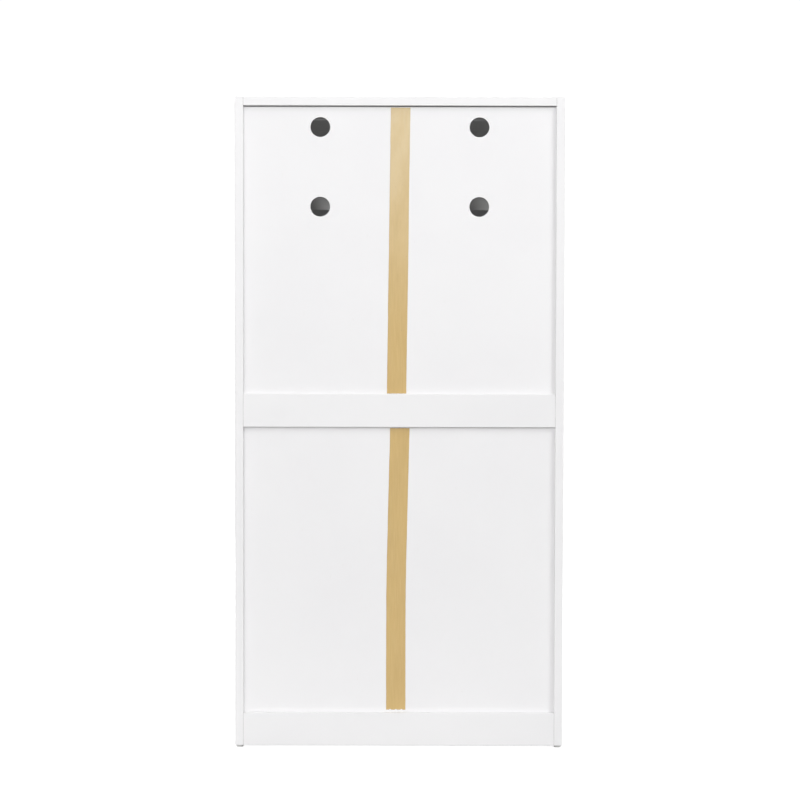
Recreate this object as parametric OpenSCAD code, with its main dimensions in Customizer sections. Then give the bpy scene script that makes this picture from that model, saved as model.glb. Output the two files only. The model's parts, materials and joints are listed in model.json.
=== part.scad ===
// Slim shoe cabinet with three flip-down bins, two slanted shoe tiers in each bin.
// Millimetres. +Z up, front towards -Y, origin on the floor under the middle of the whole object.

/* [Carcass] */
// Width over both side panels
cabinet_w = 600; // [560:5:680]
// Depth of the side panels, front edge to rear edge
cabinet_d = 240; // [240:1:270]
// Height from the floor to the top
cabinet_h = 1190; // [1187:1:1205]
// Thickness of the coated boards
board_t = 15; // [15:0.5:16]
// Width of the broken edges of all boards
arris = 0.5; // [0.3:0.1:1]
// Height of the rear middle rail and of the rear plinth rail
rail_h = 60; // [50:1:70]
// Height of the nailed-on glides
glide_h = 5; // [3:0.5:6]
// How far the front plinth stands back from the front edges
plinth_setback = 15; // [5:1:25]

/* [Back] */
// Thickness of the hardboard back
leaf_t = 3; // [2.5:0.1:3.2]
// Distance from the rear edges of the carcass in to the back's rear face
back_recess = 8; // [6:0.5:8]
// Diameter of the vent holes
vent_d = 36; // [20:1:40]
// Distance of each vent hole from the fold line
vent_x = 145; // [120:1:150]
// Depth of the upper vent holes below the cabinet's top
vent_drop_upper = 53.5; // [45:0.5:60]
// Depth of the lower vent holes below the cabinet's top
vent_drop_lower = 198; // [170:1:205]
// Gap between the upper back and the top panel
gap_over_upper = 2; // [0.5:0.5:4]
// Gap between the lower back and the middle rail
gap_over_lower = 0.8; // [0.2:0.1:3]
// Width of the paper tape over each fold
tape_w = 36; // [25:1:40]

/* [Flip bins] */
// Angle that a bin opens through
open_deg = 45; // [30:1:45]
// Height of the pivot above the bottom of a bin's band
pivot_up = 90; // [90:1:92]
// Distance of the pivot behind the door's front face
pivot_in = 22; // [22:0.5:22.5]
// Gap under each door
gap_under = 3.5; // [3.5:0.1:4]
// Gap above each door
gap_over = 1.5; // [1.5:0.1:2]
// Gap at each side of a door
gap_side = 2; // [1.5:0.1:2.5]
// Thickness of the shoe shelves and toe boards
shelf_t = 9; // [8:0.5:9]
// Length of a sloping shoe shelf
shelf_len = 212; // [195:1:212]
// Length of a toe board
toe_len = 44; // [30:1:44]
// Height between the two tiers of a bin
tier_pitch = 177; // [150:1:178]

/* [Handles] */
// Distance between a handle's two screws
handle_pitch = 128; // [96:32:160]
// Overall length of a handle's bar
handle_len = 188; // [150:1:220]
// Diameter of a handle's bar
handle_d = 10; // [8:0.5:12]
// How far a handle stands out of its door
handle_out = 28; // [25:1:32]
// Distance of a handle below its door's top edge
handle_drop = 50; // [40:1:55]

/* [Hidden] */
// Roundness of all curves
$fn = 48;
// Overlap of a cutting shape past the face that it cuts
cut = 1;
// Clearance around pieces that stay put
snug = 0.05;
// Clearance past the blind end of a fitted piece
end_play = 0.3;
// Extra reach of a loose bore past the bolt or screw in it
loose = 0.5;

// Carcass planes
rear_y = (cabinet_d + handle_out) / 2;
front_y = rear_y - cabinet_d;
inner_x = cabinet_w / 2 - board_t;
floor_z = glide_h + rail_h;
ceiling_z = cabinet_h - board_t;
bottom_z = floor_z - board_t;
middle_z = (floor_z + ceiling_z) / 2;
rail_low = middle_z - rail_h / 2;
rail_high = middle_z + rail_h / 2;
upper_top = ceiling_z - gap_over_upper;
lower_top = rail_low - gap_over_lower;
rail_y = rear_y - board_t;
plinth_y = front_y + plinth_setback;

// Back grooves, and how far the back enters them
groove_play = 0.3;
groove_w = leaf_t + 2 * groove_play;
groove_depth = 6;
leaf_entry = 5;
leaf_y = rear_y - back_recess - leaf_t;
fold_gap = 0.3;
vent_drops = [vent_drop_upper, vent_drop_lower];

// Tapes: thickness, distance from the leaves' ends, and points of each middle line, from the top down
tape_t = 0.3;
tape_end = 1;
upper_tape_line = [[-1.3, upper_top - tape_end], [5.1, rail_high + tape_end]];
lower_tape_line = [[-1.1, lower_top - tape_end], [4.6, 345], [5.5, 270], [5.5, floor_z + tape_end]];

// Cam fittings and dowels
cam_d = 15;
cam_h = 12.4;
cam_setback = 24;
cam_slot = [9, 1.5, 2];
cam_bolt_d = 6.5;
cam_bolt_entry = 11;
cam_bolt_bore = 8;
dowel_d = 8;
dowel_entry = 10;
dowel_len = 30;
mid_board = board_t / 2;

// Each cam joint: y and z of its bolt, and the turn about X that sets the side the cam faces
faces_down = 0;
faces_front = -90;
faces_rear = 90;
cam_inset = 45;
top_cams = [for (y = [front_y + cam_inset, rear_y - cam_inset]) [y, ceiling_z + mid_board, faces_down]];
bottom_cams = [for (y = [front_y + cam_inset, rail_y - cam_inset]) [y, bottom_z + mid_board, faces_down]];
middle_cams = [[rail_y + mid_board, middle_z - 12, faces_front]];
rear_plinth_cams = [[rail_y + mid_board, glide_h + 20, faces_front]];
front_plinth_cams = [[plinth_y + mid_board, glide_h + 14, faces_rear]];
all_cams = concat(top_cams, bottom_cams, middle_cams, rear_plinth_cams, front_plinth_cams);

// Each dowel joint: y and z of its dowel
top_dowels = [[0, ceiling_z + mid_board]];
bottom_dowels = [[0, bottom_z + mid_board]];
middle_dowels = [[rail_y + mid_board, middle_z + 14]];
rear_plinth_dowels = [[rail_y + mid_board, glide_h + 43]];
front_plinth_dowels = [[plinth_y + mid_board, glide_h + 34]];
all_dowels = concat(top_dowels, bottom_dowels, middle_dowels, rear_plinth_dowels, front_plinth_dowels);

// Glides
glide_d = 13;
nail_d = 2.5;
nail_len = 14;
glide_ys = [front_y + 15, rear_y - 15];

// Bins: each fills one band of equal height, and its own geometry is measured from its pivot
bin_count = 3;
band_h = (ceiling_z - floor_z) / bin_count;
pivot_y = front_y + pivot_in;
door_w = 2 * (inner_x - gap_side);
door_h = band_h - gap_under - gap_over;
door_low = gap_under - pivot_up;
door_top = door_low + door_h;
door_back = board_t - pivot_in;

// Plastic side frames of a bin
web_x = inner_x - 7;
web_t = 4;
rim_w = 2.5;
rim_depth = 9;
flange_w = 26;
flange_t = 3;
boss_r = 6.6;
boss_len = 16;
rib_t = 2;
rib_gap = 0.15;
shelf_half = web_x - end_play;
frame_outline = [
    [door_back, -80],
    [155, -86.5],
    [194.5, -47],
    [196, 142],
    [14, 262],
    [door_back, 262]
];

// Tiers: the inner corner where a shelf meets its toe board
slope = -45;
corner_y = 155;
lower_corner = [corner_y, -70];
upper_corner = [corner_y, -70 + tier_pitch];
corners = [lower_corner, upper_corner];
shelf_play = 0.2;

// Pivot pins, bushes and stop pins
pin_r = 4;
pin_play = 0.05;
pin_start = 268;
pin_end = 292.5;
bush_r = 6;
bush_len = 10;
bush_flange_r = 9;
bush_flange_t = 1.5;
stop_radius = 115;
stop_deg = 20;
stop_start = 275.5;
stop_entry = 10;
slot_play = 0.3;
stop_at = [stop_radius * sin(stop_deg), stop_radius * cos(stop_deg)];

// Screws
wood_screw_d = 3.5;
wood_screw_head_d = 7;
wood_screw_head_h = 1.8;
end_screw_len = 25;
flange_screw_len = 13;
flange_screw_x = web_x - 14;
flange_screw_zs = [-60, 110, 215];
shelf_screw_backs = [60, 160];
toe_screw_up = 18;
handle_screw_d = 4;
handle_screw_len = 25;
handle_screw_head_d = 8;
handle_screw_head_h = 2.5;
handle_hole_d = 4.5;
handle_post_d = 8;
handle_z = door_top - handle_drop;

// Colours
board_colour = [0.95, 0.95, 0.94];
back_colour = [0.93, 0.93, 0.91];
tape_colour = [0.82, 0.70, 0.49];
plastic_colour = [0.86, 0.86, 0.84];
nylon_colour = [0.90, 0.88, 0.82];
steel_colour = [0.70, 0.71, 0.72];
zinc_colour = [0.62, 0.62, 0.60];
beech_colour = [0.80, 0.62, 0.42];

// ---------------------------------------------------------------- helpers

// Box between two opposite corners
module box_between(low, high) {
    translate(low) cube(high - low);
}

// Rectangle with its corners cut off at 45 degrees by the width of a board's broken edge
module broken_rect(w, h) {
    polygon([
        [arris, 0],
        [w - arris, 0],
        [w, arris],
        [w, h - arris],
        [w - arris, h],
        [arris, h],
        [0, h - arris],
        [0, arris]
    ]);
}

// A board between two opposite corners, with all its edges broken
module board_between(low, high) {
    size = high - low;
    translate(low) intersection() {
        linear_extrude(size[2]) broken_rect(size[0], size[1]);
        translate([0, size[1], 0]) rotate([90, 0, 0]) linear_extrude(size[1]) broken_rect(size[0], size[2]);
        rotate([90, 0, 90]) linear_extrude(size[0]) broken_rect(size[1], size[2]);
    }
}

// Cylinder along X from x0 to x1 at a point of the YZ plane
module rod_x(x0, x1, at, r) {
    translate([min(x0, x1), at[0], at[1]]) rotate([0, 90, 0]) cylinder(r = r, h = abs(x1 - x0));
}

// Cylinder along Y from y0 to y1 at a point of the XZ plane
module rod_y(y0, y1, at, r) {
    translate([at[0], min(y0, y1), at[1]]) rotate([-90, 0, 0]) cylinder(r = r, h = abs(y1 - y0));
}

// Extrudes a drawing of the YZ plane along X, from x0 for a given width
module along_x(x0, width) {
    translate([x0, 0, 0]) rotate([90, 0, 90]) linear_extrude(width) children();
}

// Repeats what follows on the right and, mirrored, on the left
module both_sides() {
    for (side = [0, 1]) mirror([side, 0, 0]) children();
}

// ---------------------------------------------------------------- cam fittings and dowels

// Places a cam fitting's own frame: Z towards the closed face, X towards the side panel
module at_cam(joint) {
    translate([inner_x - cam_setback, joint[0], joint[1]]) rotate([joint[2], 0, 0]) children();
}

// Pockets and bolt bores that one board needs for its cam fittings
module cam_cuts(joints) {
    both_sides() for (joint = joints) at_cam(joint) {
        translate([0, 0, -mid_board - cut]) cylinder(d = cam_d + 2 * snug, h = cam_h + snug + cut);
        rotate([0, 90, 0]) cylinder(d = cam_bolt_bore, h = cam_setback + cut);
    }
}

// Dowel holes that one board needs
module dowel_cuts(joints) {
    depth = dowel_len - dowel_entry + loose;
    both_sides() for (at = joints) rod_x(inner_x - depth, inner_x + cut, at, dowel_d / 2 + snug);
}

module cam_lock() {
    difference() {
        translate([0, 0, -mid_board]) cylinder(d = cam_d, h = cam_h);
        translate([-loose, 0, 0]) rotate([0, 90, 0]) cylinder(d = cam_bolt_d + loose, h = cam_d);
        for (turn = [0, 90]) rotate([0, 0, turn])
            translate([-cam_slot[0] / 2, -cam_slot[1] / 2, -mid_board - cut])
                cube([cam_slot[0], cam_slot[1], cam_slot[2] + cut]);
    }
}

module cam_locks() {
    color(zinc_colour) both_sides() for (joint = all_cams) at_cam(joint) cam_lock();
}

module cam_bolts() {
    color(steel_colour) both_sides() for (joint = all_cams)
        rod_x(inner_x - cam_setback, inner_x + cam_bolt_entry, joint, cam_bolt_d / 2);
}

module wood_dowels() {
    start = inner_x + dowel_entry - dowel_len;
    color(beech_colour) both_sides() for (at = all_dowels) rod_x(start, start + dowel_len, at, dowel_d / 2);
}

// ---------------------------------------------------------------- carcass boards

// The right side panel, with its back groove, fitting holes, bush holes and stop pin holes
module side_panel() {
    outer_x = inner_x + board_t;
    difference() {
        board_between([inner_x, front_y, glide_h], [outer_x, rear_y, cabinet_h]);
        box_between(
            [inner_x - cut, leaf_y - groove_play, floor_z - groove_depth],
            [inner_x + groove_depth, leaf_y - groove_play + groove_w, ceiling_z]
        );
        for (joint = all_cams)
            rod_x(inner_x - cut, inner_x + cam_bolt_entry + end_play, joint, cam_bolt_d / 2 + snug);
        for (at = all_dowels) rod_x(inner_x - cut, inner_x + dowel_entry + end_play, at, dowel_d / 2 + snug);
        for (i = [0 : bin_count - 1]) at_pivot(i) {
            rod_x(inner_x - cut, inner_x + bush_len + end_play, [0, 0], bush_r + snug);
            rod_x(inner_x - cut, inner_x + stop_entry + end_play, stop_at, pin_r + snug);
        }
        for (y = glide_ys) translate([inner_x + mid_board, y, glide_h - cut])
            cylinder(d = nail_d + 2 * snug, h = nail_len + end_play + cut);
    }
}

module right_side_panel() {
    color(board_colour) side_panel();
}

module left_side_panel() {
    color(board_colour) mirror([1, 0, 0]) side_panel();
}

// Groove in a rail's top edge, in which the back stands: z is the top edge
module back_groove(z) {
    groove_y = leaf_y - groove_play;
    box_between([-inner_x - cut, groove_y, z - groove_depth], [inner_x + cut, groove_y + groove_w, z + cut]);
}

module top_panel() {
    color(board_colour) difference() {
        board_between([-inner_x, front_y, ceiling_z], [inner_x, rear_y, cabinet_h]);
        cam_cuts(top_cams);
        dowel_cuts(top_dowels);
    }
}

module bottom_board() {
    color(board_colour) difference() {
        board_between([-inner_x, front_y, bottom_z], [inner_x, rail_y, floor_z]);
        cam_cuts(bottom_cams);
        dowel_cuts(bottom_dowels);
    }
}

module front_plinth() {
    color(board_colour) difference() {
        board_between([-inner_x, plinth_y, glide_h], [inner_x, plinth_y + board_t, bottom_z]);
        cam_cuts(front_plinth_cams);
        dowel_cuts(front_plinth_dowels);
    }
}

module rear_plinth_rail() {
    color(board_colour) difference() {
        board_between([-inner_x, rail_y, glide_h], [inner_x, rear_y, floor_z]);
        back_groove(floor_z);
        cam_cuts(rear_plinth_cams);
        dowel_cuts(rear_plinth_dowels);
    }
}

module rear_middle_rail() {
    color(board_colour) difference() {
        board_between([-inner_x, rail_y, rail_low], [inner_x, rear_y, rail_high]);
        back_groove(rail_high);
        cam_cuts(middle_cams);
        dowel_cuts(middle_dowels);
    }
}

// ---------------------------------------------------------------- folding back and its tapes

// One right-hand leaf that shows from z0 to z1, let into the rail below it and the side panel
module back_leaf(z0, z1, vents) {
    difference() {
        box_between(
            [fold_gap / 2, leaf_y, z0 - leaf_entry],
            [inner_x + leaf_entry, leaf_y + leaf_t, z1]
        );
        for (drop = vents) rod_y(leaf_y - cut, leaf_y + leaf_t + cut, [vent_x, cabinet_h - drop], vent_d / 2);
    }
}

module upper_leaf() {
    back_leaf(rail_high, upper_top, vent_drops);
}

module lower_leaf() {
    back_leaf(floor_z, lower_top, []);
}

module upper_back_leaf_right() {
    color(back_colour) upper_leaf();
}

module upper_back_leaf_left() {
    color(back_colour) mirror([1, 0, 0]) upper_leaf();
}

module lower_back_leaf_right() {
    color(back_colour) lower_leaf();
}

module lower_back_leaf_left() {
    color(back_colour) mirror([1, 0, 0]) lower_leaf();
}

// A strip of tape stuck on the back, its middle line running through the points
module fold_tape(line) {
    half = tape_w / 2;
    count = len(line);
    one_edge = [for (point = line) [point[0] + half, point[1]]];
    other_edge = [for (i = [1 : count]) [line[count - i][0] - half, line[count - i][1]]];
    translate([0, leaf_y + leaf_t + tape_t, 0]) rotate([90, 0, 0])
        linear_extrude(tape_t) polygon(concat(one_edge, other_edge));
}

module upper_fold_tape() {
    color(tape_colour) fold_tape(upper_tape_line);
}

module lower_fold_tape() {
    color(tape_colour) fold_tape(lower_tape_line);
}

// ---------------------------------------------------------------- bushes, stop pins and glides

// Places a bin's own frame, with its origin on the pivot axis
module at_pivot(i) {
    translate([0, pivot_y, floor_z + i * band_h + pivot_up]) children();
}

module pivot_bush() {
    difference() {
        union() {
            rod_x(inner_x, inner_x + bush_len, [0, 0], bush_r);
            rod_x(inner_x - bush_flange_t, inner_x, [0, 0], bush_flange_r);
        }
        rod_x(inner_x - bush_flange_t - cut, inner_x + bush_len + cut, [0, 0], pin_r + pin_play);
    }
}

module pivot_bushes() {
    color(nylon_colour) for (i = [0 : bin_count - 1]) at_pivot(i) both_sides() pivot_bush();
}

module stop_pins() {
    color(steel_colour) for (i = [0 : bin_count - 1]) at_pivot(i) both_sides()
        rod_x(stop_start, inner_x + stop_entry, stop_at, pin_r);
}

module floor_glides() {
    color(plastic_colour) both_sides() for (y = glide_ys) translate([inner_x + mid_board, y, 0]) {
        cylinder(d = glide_d, h = glide_h);
        cylinder(d = nail_d, h = glide_h + nail_len);
    }
}

// ---------------------------------------------------------------- pieces of one bin

module bin_door() {
    color(board_colour) difference() {
        board_between([-door_w / 2, -pivot_in, door_low], [door_w / 2, door_back, door_top]);
        both_sides() {
            rod_y(-pivot_in - cut, door_back + cut, [handle_pitch / 2, handle_z], handle_hole_d / 2);
            for (z = flange_screw_zs)
                rod_y(door_back + flange_t - flange_screw_len - loose, door_back + cut,
                    [flange_screw_x, z], wood_screw_d / 2 + snug);
        }
    }
}

module bin_handle() {
    bar_y = -pivot_in - handle_out + handle_d / 2;
    color(steel_colour) difference() {
        union() {
            rod_x(-handle_len / 2, handle_len / 2, [bar_y, handle_z], handle_d / 2);
            both_sides() rod_y(bar_y, -pivot_in, [handle_pitch / 2, handle_z], handle_post_d / 2);
        }
        both_sides() rod_y(door_back - handle_screw_len - loose, -pivot_in + cut,
            [handle_pitch / 2, handle_z], handle_screw_d / 2 + snug);
    }
}

module bin_handle_screws() {
    at = [handle_pitch / 2, handle_z];
    color(steel_colour) both_sides() {
        rod_y(door_back - handle_screw_len, door_back, at, handle_screw_d / 2);
        rod_y(door_back, door_back + handle_screw_head_h, at, handle_screw_head_d / 2);
    }
}

// Places a tier's drawing frame: X down the shelf to the rear, Y up the toe board
module at_corner(corner) {
    translate(corner) rotate(slope) children();
}

// The shoe shelf's section, sloping down to the corner
module shelf_section() {
    translate([-shelf_len, -shelf_t]) broken_rect(shelf_len - shelf_play, shelf_t);
}

// The toe board's section, standing at right angles to the shelf and covering its end
module toe_section() {
    translate([0, -shelf_t]) broken_rect(shelf_t, shelf_t + toe_len);
}

// Ribs that hold the ends of a tier's two boards, with a cap across the shelf's upper end
module rib_sections() {
    outer = shelf_t + rib_gap;
    upper_end = -shelf_len - rib_gap - rib_t;
    translate([upper_end, -outer - rib_t]) square([rib_t, outer + rib_gap + 2 * rib_t]);
    translate([upper_end, -outer - rib_t]) square([outer - upper_end, rib_t]);
    translate([outer, -outer - rib_t]) square([rib_t, outer + rib_t + toe_len]);
    translate([upper_end, rib_gap]) square([-rib_gap - upper_end, rib_t]);
    translate([-rib_gap - rib_t, rib_gap]) square([rib_t, toe_len - rib_gap]);
}

// Where the screws enter the ends of a tier's boards, in the tier's drawing frame
function end_screw_points() = concat(
    [for (back = shelf_screw_backs) [-back, -shelf_t / 2]],
    [[shelf_t / 2, toe_screw_up]]
);

// A strip of the rim along one edge of the frame's outline
module rim_strip(a, b) {
    run = b - a;
    translate(a) rotate(atan2(run[1], run[0])) square([norm(run), rim_w]);
}

// The curved slot that slides over the stop pin, as an angle from straight up towards the rear
module stop_slot() {
    half = pin_r + slot_play;
    reach = 2 * stop_radius;
    intersection() {
        difference() {
            circle(r = stop_radius + half);
            circle(r = stop_radius - half);
        }
        polygon([
            [0, 0],
            [reach * sin(stop_deg), reach * cos(stop_deg)],
            [reach * sin(stop_deg + open_deg), reach * cos(stop_deg + open_deg)]
        ]);
    }
    for (turn = [stop_deg, stop_deg + open_deg])
        translate([stop_radius * sin(turn), stop_radius * cos(turn)]) circle(r = half);
}

// The right side frame: web, rim, ribs, door flange and pivot boss
module side_frame() {
    rim_x = web_x - rim_depth;
    count = len(frame_outline);
    last = count - 1;
    difference() {
        union() {
            along_x(web_x, web_t) polygon(frame_outline);
            intersection() {
                along_x(rim_x, rim_depth) polygon(frame_outline);
                along_x(rim_x, rim_depth) {
                    for (i = [0 : last]) rim_strip(frame_outline[i], frame_outline[(i + 1) % count]);
                    for (corner = corners) at_corner(corner) rib_sections();
                }
            }
            box_between(
                [web_x + web_t - flange_w, door_back, frame_outline[0][1]],
                [web_x + web_t, door_back + flange_t, frame_outline[last][1]]
            );
            rod_x(web_x + web_t - boss_len, web_x + web_t, [0, 0], boss_r);
        }
        rod_x(web_x - boss_len, web_x + web_t + cut, [0, 0], pin_r + snug);
        along_x(rim_x - cut, rim_depth + web_t + 2 * cut) stop_slot();
        for (corner = corners)
            along_x(web_x - cut, web_t + 2 * cut) at_corner(corner)
                for (point = end_screw_points()) translate(point) circle(d = wood_screw_d + 2 * snug);
        for (z = flange_screw_zs)
            rod_y(door_back - cut, door_back + flange_t + cut, [flange_screw_x, z], wood_screw_d / 2 + snug);
    }
}

module bin_right_frame() {
    color(plastic_colour) side_frame();
}

module bin_left_frame() {
    color(plastic_colour) mirror([1, 0, 0]) side_frame();
}

// Screws through the flanges into the door, and through the webs into the ends of the boards
module bin_frame_screws() {
    seat_y = door_back + flange_t;
    seat_x = web_x + web_t;
    color(zinc_colour) both_sides() {
        for (z = flange_screw_zs) {
            rod_y(seat_y - flange_screw_len, seat_y, [flange_screw_x, z], wood_screw_d / 2);
            rod_y(seat_y, seat_y + wood_screw_head_h, [flange_screw_x, z], wood_screw_head_d / 2);
        }
        for (corner = corners) {
            along_x(seat_x - end_screw_len, end_screw_len) at_corner(corner)
                for (point = end_screw_points()) translate(point) circle(d = wood_screw_d);
            along_x(seat_x, wood_screw_head_h) at_corner(corner)
                for (point = end_screw_points()) translate(point) circle(d = wood_screw_head_d);
        }
    }
}

module bin_pivot_pins() {
    color(steel_colour) both_sides() rod_x(pin_start, pin_end, [0, 0], pin_r);
}

// Holes in both ends of a tier's board for its screws
module end_holes(corner) {
    depth = end_screw_len + cut;
    both_sides() along_x(web_x + web_t - depth, depth) at_corner(corner)
        for (point = end_screw_points()) translate(point) circle(d = wood_screw_d + 2 * snug);
}

module bin_shelf(corner) {
    color(board_colour) difference() {
        along_x(-shelf_half, 2 * shelf_half) at_corner(corner) shelf_section();
        end_holes(corner);
    }
}

module bin_toe_board(corner) {
    color(board_colour) difference() {
        along_x(-shelf_half, 2 * shelf_half) at_corner(corner) toe_section();
        end_holes(corner);
    }
}

// One named piece of the bin number i
module bin_piece(i, piece) {
    at_pivot(i) {
        if (piece == "door") bin_door();
        if (piece == "handle") bin_handle();
        if (piece == "handle_screws") bin_handle_screws();
        if (piece == "left_frame") bin_left_frame();
        if (piece == "right_frame") bin_right_frame();
        if (piece == "frame_screws") bin_frame_screws();
        if (piece == "pivot_pins") bin_pivot_pins();
        if (piece == "lower_shelf") bin_shelf(lower_corner);
        if (piece == "lower_toe_board") bin_toe_board(lower_corner);
        if (piece == "upper_shelf") bin_shelf(upper_corner);
        if (piece == "upper_toe_board") bin_toe_board(upper_corner);
    }
}

// ---------------------------------------------------------------- nodes

left_side_panel();
right_side_panel();
top_panel();
bottom_board();
front_plinth();
rear_plinth_rail();
rear_middle_rail();
upper_back_leaf_left();
upper_back_leaf_right();
lower_back_leaf_left();
lower_back_leaf_right();
upper_fold_tape();
lower_fold_tape();
cam_locks();
cam_bolts();
wood_dowels();
pivot_bushes();
stop_pins();
floor_glides();

bin_piece(0, "door");  // bottom_bin_door
bin_piece(0, "handle");  // bottom_bin_handle
bin_piece(0, "handle_screws");  // bottom_bin_handle_screws
bin_piece(0, "left_frame");  // bottom_bin_left_frame
bin_piece(0, "right_frame");  // bottom_bin_right_frame
bin_piece(0, "frame_screws");  // bottom_bin_frame_screws
bin_piece(0, "pivot_pins");  // bottom_bin_pivot_pins
bin_piece(0, "lower_shelf");  // bottom_bin_lower_shelf
bin_piece(0, "lower_toe_board");  // bottom_bin_lower_toe_board
bin_piece(0, "upper_shelf");  // bottom_bin_upper_shelf
bin_piece(0, "upper_toe_board");  // bottom_bin_upper_toe_board

bin_piece(1, "door");  // middle_bin_door
bin_piece(1, "handle");  // middle_bin_handle
bin_piece(1, "handle_screws");  // middle_bin_handle_screws
bin_piece(1, "left_frame");  // middle_bin_left_frame
bin_piece(1, "right_frame");  // middle_bin_right_frame
bin_piece(1, "frame_screws");  // middle_bin_frame_screws
bin_piece(1, "pivot_pins");  // middle_bin_pivot_pins
bin_piece(1, "lower_shelf");  // middle_bin_lower_shelf
bin_piece(1, "lower_toe_board");  // middle_bin_lower_toe_board
bin_piece(1, "upper_shelf");  // middle_bin_upper_shelf
bin_piece(1, "upper_toe_board");  // middle_bin_upper_toe_board

bin_piece(2, "door");  // top_bin_door
bin_piece(2, "handle");  // top_bin_handle
bin_piece(2, "handle_screws");  // top_bin_handle_screws
bin_piece(2, "left_frame");  // top_bin_left_frame
bin_piece(2, "right_frame");  // top_bin_right_frame
bin_piece(2, "frame_screws");  // top_bin_frame_screws
bin_piece(2, "pivot_pins");  // top_bin_pivot_pins
bin_piece(2, "lower_shelf");  // top_bin_lower_shelf
bin_piece(2, "lower_toe_board");  // top_bin_lower_toe_board
bin_piece(2, "upper_shelf");  // top_bin_upper_shelf
bin_piece(2, "upper_toe_board");  // top_bin_upper_toe_board
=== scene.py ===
"""Looks of a slim white shoe cabinet, built around its CAD frame. Metres; +Z up, front towards -Y."""

import json
import math

import bpy
import numpy as np
from mathutils import Matrix, Vector

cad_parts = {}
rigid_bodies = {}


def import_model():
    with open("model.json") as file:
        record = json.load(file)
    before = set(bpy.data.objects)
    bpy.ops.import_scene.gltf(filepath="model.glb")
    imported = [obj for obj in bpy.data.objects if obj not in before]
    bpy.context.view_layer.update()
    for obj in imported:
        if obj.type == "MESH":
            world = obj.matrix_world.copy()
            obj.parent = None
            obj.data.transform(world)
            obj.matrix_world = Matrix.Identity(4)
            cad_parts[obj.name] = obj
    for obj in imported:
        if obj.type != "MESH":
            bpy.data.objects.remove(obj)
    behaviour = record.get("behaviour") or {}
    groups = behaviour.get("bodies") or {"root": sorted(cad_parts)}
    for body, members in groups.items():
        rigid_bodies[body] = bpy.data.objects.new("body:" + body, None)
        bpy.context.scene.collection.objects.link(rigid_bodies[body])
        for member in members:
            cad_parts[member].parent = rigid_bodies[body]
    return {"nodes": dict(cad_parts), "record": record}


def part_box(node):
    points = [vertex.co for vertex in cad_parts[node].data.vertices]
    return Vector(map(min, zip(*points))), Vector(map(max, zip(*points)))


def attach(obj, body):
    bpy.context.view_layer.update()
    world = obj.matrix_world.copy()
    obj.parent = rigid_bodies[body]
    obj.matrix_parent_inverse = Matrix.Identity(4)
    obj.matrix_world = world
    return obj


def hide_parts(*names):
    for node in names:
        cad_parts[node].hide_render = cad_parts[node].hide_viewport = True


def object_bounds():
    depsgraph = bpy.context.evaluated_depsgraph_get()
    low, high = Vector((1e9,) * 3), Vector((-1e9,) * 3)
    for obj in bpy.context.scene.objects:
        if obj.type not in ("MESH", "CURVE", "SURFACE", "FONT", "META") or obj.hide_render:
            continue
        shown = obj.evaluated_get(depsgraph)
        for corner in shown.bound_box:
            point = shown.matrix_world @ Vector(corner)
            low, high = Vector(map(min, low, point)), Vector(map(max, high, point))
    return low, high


for old in list(bpy.data.objects):
    bpy.data.objects.remove(old)

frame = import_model()
cad_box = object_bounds()
MM = 0.001
CARCASS = "carcass"


# ------------------------------------------------------------------ shader building


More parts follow.
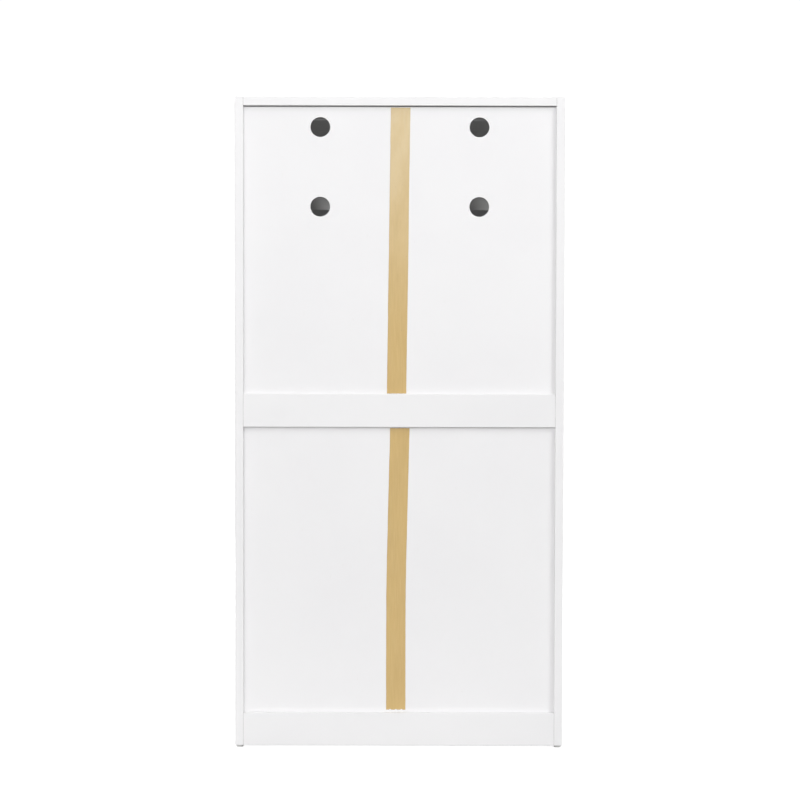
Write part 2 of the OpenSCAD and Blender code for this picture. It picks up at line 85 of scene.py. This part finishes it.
class Finish:
    """One procedural material: a Principled shader, and the nodes in front of it."""

    def __init__(self, name, **sockets):
        self.material = bpy.data.materials.new(name)
        self.material.use_nodes = True
        self.tree = self.material.node_tree
        self.shader = self.tree.nodes["Principled BSDF"]
        self.place = self.node("ShaderNodeTexCoord").outputs["Object"]
        for socket, value in sockets.items():
            self.shader.inputs[socket.replace("_", " ")].default_value = value

    def node(self, kind, **settings):
        made = self.tree.nodes.new(kind)
        for key, value in settings.items():
            setattr(made, key, value)
        return made

    def feed(self, socket, value):
        """Links an output to a socket, or sets the socket to a plain value."""
        if isinstance(value, bpy.types.NodeSocket):
            self.tree.links.new(value, socket)
        else:
            socket.default_value = value

    def noise(self, scale, detail=3.0, rough=0.5, stretch=(1, 1, 1), distortion=0.0):
        """Noise from 0 to 1 over the object's own metres.

        A stretch above 1 makes it finer along that axis, and one below 1 draws it out."""
        mapping = self.node("ShaderNodeMapping")
        mapping.inputs["Scale"].default_value = stretch
        self.feed(mapping.inputs["Vector"], self.place)
        made = self.node("ShaderNodeTexNoise")
        self.feed(made.inputs["Vector"], mapping.outputs["Vector"])
        made.inputs["Scale"].default_value = scale
        made.inputs["Detail"].default_value = detail
        made.inputs["Roughness"].default_value = rough
        made.inputs["Distortion"].default_value = distortion
        return made.outputs["Fac"]

    def math(self, operation, first, second=0.0):
        made = self.node("ShaderNodeMath", operation=operation)
        self.feed(made.inputs[0], first)
        self.feed(made.inputs[1], second)
        return made.outputs[0]

    def remap(self, value, low, high, to_low=0.0, to_high=1.0):
        """Eases from to_low to to_high while the value goes from low to high."""
        made = self.node("ShaderNodeMapRange", interpolation_type="SMOOTHSTEP")
        numbers = {"From Min": low, "From Max": high, "To Min": to_low, "To Max": to_high}
        for socket, number in numbers.items():
            made.inputs[socket].default_value = number
        self.feed(made.inputs["Value"], value)
        return made.outputs["Result"]

    def mix(self, factor, first, second):
        """A colour between two colours."""
        made = self.node("ShaderNodeMix", data_type="RGBA")
        self.feed(made.inputs["Factor"], factor)
        for socket, colour in (("A", first), ("B", second)):
            linked = isinstance(colour, bpy.types.NodeSocket)
            self.feed(made.inputs[socket], colour if linked else (*colour, 1.0))
        return made.outputs["Result"]

    def axis(self, source, index):
        """One coordinate of a vector: 0 for X, 1 for Y, 2 for Z."""
        made = self.node("ShaderNodeSeparateXYZ")
        self.feed(made.inputs["Vector"], source)
        return made.outputs[index]

    def edges(self, radius):
        """1 on edges and corners within radius, 0 on flats."""
        bevel = self.node("ShaderNodeBevel", samples=4)
        bevel.inputs["Radius"].default_value = radius
        dot = self.node("ShaderNodeVectorMath", operation="DOT_PRODUCT")
        self.feed(dot.inputs[0], bevel.outputs["Normal"])
        self.feed(dot.inputs[1], self.node("ShaderNodeNewGeometry").outputs["Normal"])
        return self.remap(dot.outputs["Value"], 1.0, 0.86)

    def joint_shade_mask(self, distance):
        """Mask for painted shade: 1 deep in joints narrower than distance, 0 in the open."""
        shade = self.node("ShaderNodeAmbientOcclusion", samples=6)
        shade.inputs["Distance"].default_value = distance
        return self.remap(shade.outputs["AO"], 0.86, 0.50)

    def colour(self, value):
        self.feed(self.shader.inputs["Base Color"], value)

    def roughness(self, value):
        self.feed(self.shader.inputs["Roughness"], value)

    def bump(self, height, distance):
        """Adds a bump of that many metres on top of the ones before it."""
        made = self.node("ShaderNodeBump")
        made.inputs["Strength"].default_value = 1.0
        made.inputs["Distance"].default_value = distance
        self.feed(made.inputs["Height"], height)
        socket = self.shader.inputs["Normal"]
        if socket.is_linked:
            self.feed(made.inputs["Normal"], socket.links[0].from_socket)
        self.feed(socket, made.outputs["Normal"])


# ------------------------------------------------------------------ materials, one function for each


def coated_board(name, white, shade, worn, sheen_low=0.34, sheen_high=0.50):
    """Melamine-faced board: a fine pearl texture, faint clouding, smudges, worn edges, and painted
    shade in the joints.
    """
    finish = Finish(name, IOR=1.5)
    # Grey that is painted into the joints as shade
    joint_shade_colour = (0.40, 0.39, 0.38)
    cloud = finish.remap(finish.noise(2.6, detail=4, rough=0.6), 0.32, 0.68)
    speck = finish.remap(finish.noise(620, detail=2, rough=0.6), 0.60, 0.74)
    base = finish.mix(cloud, white, shade)
    base = finish.mix(finish.math("MULTIPLY", speck, 0.10), base, worn)
    patchy = finish.remap(finish.noise(46, detail=4, rough=0.65), 0.42, 0.62)
    rub = finish.math("MULTIPLY", finish.edges(1.2 * MM), patchy)
    base = finish.mix(finish.math("MULTIPLY", rub, 0.55), base, worn)
    # Painted shade: an ambient occlusion mask darkens joints and narrow crevices towards that grey
    finish.colour(finish.mix(finish.math("MULTIPLY", finish.joint_shade_mask(1.4 * MM), 0.85), base, joint_shade_colour))
    smudge = finish.noise(7, detail=5, rough=0.62, stretch=(1.0, 1.0, 1.7), distortion=0.4)
    finish.roughness(finish.remap(smudge, 0.3, 0.7, sheen_low, sheen_high))
    finish.bump(finish.noise(9, detail=2), 0.10 * MM)
    finish.bump(finish.noise(880, detail=3, rough=0.6), 0.045 * MM)
    return finish.material


def hardboard(name):
    """White-lacquered hardboard: fine pressed fibres under the paint, and a brown core at cut edges."""
    finish = Finish(name, IOR=1.48)
    cloud = finish.remap(finish.noise(3.1, detail=4, rough=0.6), 0.3, 0.7)
    paint = finish.mix(cloud, (0.886, 0.881, 0.888), (0.866, 0.860, 0.870))
    fleck = finish.remap(finish.noise(260, detail=3, rough=0.7, stretch=(1.0, 1.0, 0.35)), 0.62, 0.78)
    paint = finish.mix(finish.math("MULTIPLY", fleck, 0.16), paint, (0.70, 0.68, 0.63))
    fibre = finish.noise(900, detail=4, rough=0.7, stretch=(1.0, 3.0, 1.0))
    core = finish.mix(finish.remap(fibre, 0.3, 0.7), (0.16, 0.10, 0.058), (0.30, 0.20, 0.125))
    normal = finish.node("ShaderNodeTexCoord").outputs["Normal"]
    facing = finish.math("ABSOLUTE", finish.axis(normal, 1))
    cut = finish.remap(facing, 0.80, 0.45)
    finish.colour(finish.mix(cut, paint, core))
    finish.roughness(finish.remap(finish.noise(11, detail=4, rough=0.6), 0.3, 0.7, 0.42, 0.60))
    finish.bump(finish.noise(14, detail=2), 0.12 * MM)
    finish.bump(finish.noise(520, detail=4, rough=0.7, stretch=(1.0, 1.0, 0.45)), 0.05 * MM)
    return finish.material


def kraft_tape(name, low_z, high_z):
    """Tan gummed paper: long fibres, blotches, dark flecks, and painted paler towards the top, as if
    lit more strongly from above.
    """
    finish = Finish(name, IOR=1.42)
    span = high_z - low_z
    # Painted light: the tape's colour turns paler with height, standing in for the stronger light from
    # above
    pale = finish.remap(finish.axis(finish.place, 2), low_z + 0.58 * span, low_z + 1.04 * span)
    base = finish.mix(pale, (0.616, 0.412, 0.135), (0.740, 0.600, 0.368))
    blotch = finish.remap(finish.noise(24, detail=4, rough=0.6, stretch=(1.0, 1.0, 0.45)), 0.30, 0.72)
    base = finish.mix(finish.math("MULTIPLY", blotch, 0.38), base, (0.520, 0.340, 0.105))
    streak = finish.noise(420, detail=4, rough=0.65, stretch=(1.0, 1.0, 0.045))
    base = finish.mix(finish.remap(streak, 0.34, 0.74, 0.0, 0.34), base, (0.740, 0.550, 0.260))
    fleck = finish.remap(finish.noise(700, detail=2, rough=0.5, stretch=(1.0, 1.0, 0.35)), 0.70, 0.80)
    finish.colour(finish.mix(finish.math("MULTIPLY", fleck, 0.45), base, (0.330, 0.210, 0.105)))
    finish.roughness(finish.remap(streak, 0.3, 0.7, 0.62, 0.78))
    finish.bump(finish.noise(60, detail=4, rough=0.6, stretch=(1.0, 1.0, 0.3)), 0.16 * MM)
    finish.bump(streak, 0.06 * MM)
    return finish.material


def moulded(name, pale, dull, shine, grain):
    """Moulded plastic: a spark-eroded texture, slightly uneven colour and a painted highlight along the
    edges.
    """
    finish = Finish(name, IOR=1.53)
    cloud = finish.remap(finish.noise(18, detail=4, rough=0.6), 0.3, 0.7)
    base = finish.mix(cloud, pale, dull)
    # Painted highlight: every edge and corner is lifted to a paler tint
    edge_highlight_tint = tuple(min(1.0, channel * 1.06) for channel in pale)
    finish.colour(finish.mix(finish.math("MULTIPLY", finish.edges(0.8 * MM), 0.6), base, edge_highlight_tint))
    handled = finish.noise(35, detail=4, rough=0.6)
    finish.roughness(finish.remap(handled, 0.3, 0.7, shine - 0.06, shine + 0.07))
    finish.bump(finish.noise(grain, detail=2, rough=0.6), 0.03 * MM)
    return finish.material


def brushed_metal(name, bright, dark, stretch, shine):
    """Metal with fine brushing along one axis, handling marks and a painted highlight along the edges.
    """
    finish = Finish(name, Metallic=1.0)
    lines = finish.noise(1500, detail=4, rough=0.7, stretch=stretch)
    base = finish.mix(finish.remap(lines, 0.3, 0.7), bright, dark)
    stain = finish.remap(finish.noise(55, detail=4, rough=0.65), 0.52, 0.76)
    stained = tuple(0.72 * channel for channel in dark)
    base = finish.mix(finish.math("MULTIPLY", stain, 0.30), base, stained)
    # Painted highlight: edges and corners are brightened like a glint
    edge = tuple(min(1.0, channel * 1.18) for channel in bright)
    finish.colour(finish.mix(finish.math("MULTIPLY", finish.edges(0.5 * MM), 0.7), base, edge))
    marks = finish.remap(finish.noise(90, detail=4, rough=0.6), 0.3, 0.7, -0.05, 0.08)
    worn = finish.math("ADD", finish.remap(lines, 0.25, 0.75, shine - 0.06, shine + 0.08), marks)
    finish.roughness(worn)
    finish.bump(lines, 0.012 * MM)
    return finish.material


def beech(name):
    """Bare turned beech: straight pores along the grain and soft growth bands."""
    finish = Finish(name, IOR=1.45)
    band = finish.noise(160, detail=4, rough=0.6, stretch=(0.08, 1.0, 1.0), distortion=0.6)
    base = finish.mix(finish.remap(band, 0.3, 0.7), (0.600, 0.370, 0.190), (0.720, 0.490, 0.280))
    pore = finish.remap(finish.noise(1400, detail=2, rough=0.5, stretch=(0.05, 1.0, 1.0)), 0.62, 0.74)
    finish.colour(finish.mix(finish.math("MULTIPLY", pore, 0.5), base, (0.340, 0.190, 0.090)))
    finish.roughness(finish.remap(band, 0.3, 0.7, 0.55, 0.72))
    finish.bump(pore, -0.05 * MM)
    return finish.material


def make_finishes():
    """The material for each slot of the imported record."""
    low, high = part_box("lower_fold_tape")[0].z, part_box("upper_fold_tape")[1].z
    along_x = (0.03, 1.0, 1.0)
    return {
        "coated_board": coated_board(
            "coated_board", (0.884, 0.880, 0.886), (0.864, 0.860, 0.868), (0.70, 0.69, 0.67)
        ),
        "door_board": coated_board(
            "door_board", (0.886, 0.884, 0.886), (0.870, 0.868, 0.871), (0.72, 0.71, 0.69)
        ),
        "shelf_board": coated_board(
            "shelf_board", (0.870, 0.870, 0.864), (0.845, 0.845, 0.838), (0.62, 0.60, 0.56), 0.40, 0.58
        ),
        "back_hardboard": hardboard("back_hardboard"),
        "paper_tape": kraft_tape("paper_tape", low, high),
        "white_plastic": moulded("white_plastic", (0.83, 0.83, 0.81), (0.79, 0.79, 0.77), 0.44, 1300),
        "nylon": moulded("nylon", (0.84, 0.83, 0.80), (0.79, 0.78, 0.75), 0.36, 700),
        "steel": brushed_metal("steel", (0.66, 0.67, 0.68), (0.52, 0.53, 0.55), along_x, 0.28),
        "handle_steel": brushed_metal(
            "handle_steel", (0.66, 0.65, 0.63), (0.55, 0.54, 0.52), along_x, 0.33
        ),
        "zinc": brushed_metal("zinc", (0.60, 0.61, 0.62), (0.44, 0.45, 0.46), (1.0, 1.0, 1.0), 0.40),
        "beech": beech("beech"),
    }


# ------------------------------------------------------------------ CAD pieces


def finish_cad_nodes(finishes):
    """Gives each CAD node the material of its slot in the record."""
    for entry in frame["record"]["subparts"]:
        thing = frame["nodes"][entry["node"]]
        slot = entry["material_slot"]
        for material_slot in thing.material_slots:
            material_slot.material = finishes[slot]


# ------------------------------------------------------------------ paper tapes


# How wide the paper is cut, as a share of its CAD strip's width
PAPER_TRIM = 0.985
PAPER_THICK = 0.16 * MM
# The strip's grid: points across it, rows of them from its foot up, and rows that round a corner
ACROSS = 30
ROWS = 520
BLUR_ROWS = 30


def strip_line(node):
    """Heights from 0 to 1, middles and widths of a CAD strip, read from its own corners."""
    strip = frame["nodes"][node]
    levels = {}
    for vertex in strip.data.vertices:
        corner = strip.matrix_world @ vertex.co
        levels.setdefault(round(corner.z, 4), []).append(corner.x)
    z = np.array(sorted(levels))
    left = np.array([min(levels[level]) for level in z])
    right = np.array([max(levels[level]) for level in z])
    return (z - z[0]) / (z[-1] - z[0]), 0.5 * (left + right), right - left


def rounded(heights, values):
    """The line through the points at every row, with its corners rounded."""
    rows = np.interp(np.linspace(0.0, 1.0, ROWS), heights, values)
    blur = np.hanning(2 * BLUR_ROWS + 1)
    return np.convolve(np.pad(rows, BLUR_ROWS, "edge"), blur / blur.sum(), "valid")


def wander(rng, points, waves, size):
    """A smooth random line: a few sine waves with falling heights."""
    line = np.zeros_like(points)
    for k in range(1, waves + 1):
        line += rng.normal() * np.sin(2 * math.pi * (k * points * 1.7 + rng.random())) / k**0.8
    return size * line / 2.2


def paper_lift(s, t, x, seed):
    """How far the paper stands off its even face: ripples, a pucker, and a crease over the fold.

    s runs across from -1 to 1, t from the foot up from 0 to 1, and x is in metres."""
    ripple = 0.10 * MM * math.sin(41 * t + 3.1 * s + seed) * math.sin(17 * t - 2.0 * s) ** 2
    pucker = 0.14 * MM * math.exp(-(((s - 0.35 * math.sin(9 * t + seed)) / 0.16) ** 2))
    crease = -0.07 * MM * math.exp(-((x / (0.9 * MM)) ** 2))
    return max(0.0, ripple) + pucker * abs(math.sin(23 * t)) ** 3 + crease


def paper_points(node, short, seed):
    """The strip's points: the face against the back first, then the outer face."""
    low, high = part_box(node)
    rng = np.random.default_rng(seed)
    u = np.linspace(-1.0, 1.0, ACROSS)
    v = np.linspace(0.0, 1.0, ROWS)
    heights, middles, widths = strip_line(node)
    middle = rounded(heights, middles) + wander(rng, v, 5, 0.16 * MM)
    half = 0.5 * PAPER_TRIM * rounded(heights, widths)
    left_half = half + wander(rng, v, 14, 0.22 * MM)
    right_half = half + wander(rng, v, 14, 0.22 * MM)
    torn_low = short + np.abs(wander(rng, u * 0.5, 11, 1.0 * MM))
    torn_high = np.abs(wander(rng, u * 0.5, 8, 0.35 * MM))
    points = []
    for layer in (0, 1):
        for j, t in enumerate(v):
            rise = (high.z - torn_high) * t + (low.z + torn_low) * (1 - t)
            for i, s in enumerate(u):
                x = middle[j] + s * (right_half[j] if s > 0 else left_half[j])
                y = low.y + 0.02 * MM + layer * (PAPER_THICK + paper_lift(s, t, x, seed))
                points.append((x, y, rise[i]))
    return points


def paper_faces():
    """Both faces of the strip's grid and the four narrow edges between them."""

    def at(layer, j, i):
        return (layer * ROWS + j) * ACROSS + i

    faces = []
    for j in range(ROWS - 1):
        for i in range(ACROSS - 1):
            faces.append([at(1, j, i), at(1, j + 1, i), at(1, j + 1, i + 1), at(1, j, i + 1)])
            faces.append([at(0, j, i + 1), at(0, j + 1, i + 1), at(0, j + 1, i), at(0, j, i)])
    side = ACROSS - 1
    for j in range(ROWS - 1):
        faces.append([at(0, j, 0), at(0, j + 1, 0), at(1, j + 1, 0), at(1, j, 0)])
        faces.append([at(1, j, side), at(1, j + 1, side), at(0, j + 1, side), at(0, j, side)])
    top = ROWS - 1
    for i in range(ACROSS - 1):
        faces.append([at(0, 0, i), at(1, 0, i), at(1, 0, i + 1), at(0, 0, i + 1)])
        faces.append([at(1, top, i), at(0, top, i), at(0, top, i + 1), at(1, top, i + 1)])
    return faces


def make_tape(name, node, short, seed, finish):
    """A strip of gummed paper over the fold, with wavy edges, torn ends and faint wrinkles.

    It follows its CAD strip. short is how far above that strip's lower end it is torn off."""
    mesh = bpy.data.meshes.new(name)
    mesh.from_pydata(paper_points(node, short, seed), [], paper_faces())
    mesh.validate()
    mesh.materials.append(finish)
    for polygon in mesh.polygons:
        polygon.use_smooth = True
    tape = bpy.data.objects.new(name, mesh)
    bpy.context.scene.collection.objects.link(tape)
    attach(tape, CARCASS)
    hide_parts(node)


# ------------------------------------------------------------------ stage

# What the camera sees of the floor and of the backdrop, and the light that the backdrop gives
FLOOR_GLOW = 0.97
BACKDROP_SEEN = 1.05
WORLD_LEVEL = 0.20

# Lamps, in watts
KEY_WATTS = 40
HIGH_WATTS = 58
LEFT_WATTS = 27
OVER_WATTS = 9
BACK_WATTS = 104
LOW_WATTS = 0.2
FRONT_WATTS = 95

# Camera: sideways place, height and distance from the back in metres, angles in degrees, lens in mm
CAMERA_X = -0.0012
CAMERA_HEIGHT = 0.7533
CAMERA_DISTANCE = 3.5
CAMERA_TILT = 1.86
CAMERA_ROLL = 0.12
CAMERA_LENS = 86.33

# How far the blacks are lifted towards grey
VEIL = 0.055


def make_floor():
    """A plain pale floor. The camera sees it brighter than the light that it gives back."""
    bpy.ops.mesh.primitive_plane_add(size=60.0, location=(0, 0, 0))
    floor = bpy.context.object
    floor.name = "floor"
    finish = Finish("floor_white")
    finish.colour(finish.mix(finish.noise(0.8, detail=2), (0.50, 0.50, 0.50), (0.48, 0.48, 0.48)))
    finish.shader.inputs["Roughness"].default_value = 0.9
    finish.shader.inputs["Specular IOR Level"].default_value = 0.0
    finish.shader.inputs["Emission Color"].default_value = (1, 1, 1, 1)
    seen = finish.node("ShaderNodeLightPath").outputs["Is Camera Ray"]
    finish.feed(finish.shader.inputs["Emission Strength"], finish.math("MULTIPLY", seen, FLOOR_GLOW))
    floor.data.materials.append(finish.material)


def make_world():
    """White backdrop. The light that it gives is softer than what the camera sees."""
    world = bpy.data.worlds.new("studio")
    bpy.context.scene.world = world
    world.use_nodes = True
    tree = world.node_tree
    tree.nodes.clear()
    light = tree.nodes.new("ShaderNodeBackground")
    seen = tree.nodes.new("ShaderNodeBackground")
    light.inputs["Strength"].default_value = WORLD_LEVEL
    seen.inputs["Strength"].default_value = BACKDROP_SEEN
    for background in (light, seen):
        background.inputs["Color"].default_value = (1, 1, 1, 1)
    rays = tree.nodes.new("ShaderNodeLightPath")
    mix = tree.nodes.new("ShaderNodeMixShader")
    output = tree.nodes.new("ShaderNodeOutputWorld")
    tree.links.new(rays.outputs["Is Camera Ray"], mix.inputs["Fac"])
    tree.links.new(light.outputs[0], mix.inputs[1])
    tree.links.new(seen.outputs[0], mix.inputs[2])
    tree.links.new(mix.outputs[0], output.inputs["Surface"])


def aim(thing, target):
    """Turns a lamp to face the target."""
    thing.rotation_euler = (Vector(target) - thing.location).to_track_quat("-Z", "Y").to_euler()


def softbox(name, place, target, size, watts):
    """A square area lamp that the camera doesn't see."""
    lamp = bpy.data.lights.new(name, "AREA")
    lamp.shape = "SQUARE"
    lamp.size = size
    lamp.energy = watts
    made = bpy.data.objects.new(name, lamp)
    made.location = place
    made.visible_camera = False
    bpy.context.scene.collection.objects.link(made)
    aim(made, target)
    return lamp


def make_lights(low, high):
    """Large soft lamps, most of them on the side that the camera looks from."""
    top = high.z
    middle = (0, high.y, 0.5 * top)
    softbox("key_right", (-3.2, high.y + 2.7, 2.1), middle, 2.4, KEY_WATTS)
    softbox("high_right", (-2.4, high.y + 2.4, 3.4), middle, 2.0, HIGH_WATTS)
    softbox("fill_left", (3.2, high.y + 2.7, 2.1), middle, 2.4, LEFT_WATTS)
    softbox("overhead", (0, high.y + 0.9, 3.3), (0, high.y, top), 1.6, OVER_WATTS)
    softbox("level_back", (1.7, high.y + 5.2, 1.9), middle, 2.5, BACK_WATTS)
    bounce = softbox("floor_bounce", (0, high.y + 0.28, 0.02), (0, high.y, 0.04), 1.3, LOW_WATTS)
    bounce.shape = "RECTANGLE"
    bounce.size_y = 0.05
    softbox("front", (1.9, low.y - 2.9, 1.15 * top), (0, low.y, 0.5 * top), 1.8, FRONT_WATTS)


def make_camera(rear_y):
    """Square-on from behind, above half height, tilted slightly down and a touch out of level."""
    camera_data = bpy.data.cameras.new("camera")
    camera_data.lens = CAMERA_LENS
    camera_data.sensor_width = 36.0
    camera = bpy.data.objects.new("camera", camera_data)
    camera.location = (CAMERA_X, rear_y + CAMERA_DISTANCE, CAMERA_HEIGHT)
    upright = 0.5 * math.pi - math.radians(CAMERA_TILT)
    facing = Matrix.Rotation(math.pi, 3, "Z") @ Matrix.Rotation(upright, 3, "X")
    rolled = facing @ Matrix.Rotation(math.radians(CAMERA_ROLL), 3, "Z")
    camera.rotation_euler = rolled.to_euler()
    bpy.context.scene.collection.objects.link(camera)
    bpy.context.scene.camera = camera


# ------------------------------------------------------------------ the whole scene

finishes = make_finishes()
finish_cad_nodes(finishes)
make_tape("upper_tape_strip", "upper_fold_tape", 0.0, 11, finishes["paper_tape"])
make_tape("lower_tape_strip", "lower_fold_tape", 3.2 * MM, 23, finishes["paper_tape"])

box_low, box_high = (Vector(corner) for corner in cad_box)
make_floor()
make_world()
make_lights(box_low, box_high)
make_camera(box_high.y)

scene = bpy.context.scene
scene.view_settings.view_transform = "Standard"
scene.view_settings.look = "None"
scene.view_settings.use_curve_mapping = True
scene.view_settings.curve_mapping.black_level = (-VEIL, -VEIL, -VEIL)
scene.view_settings.curve_mapping.update()
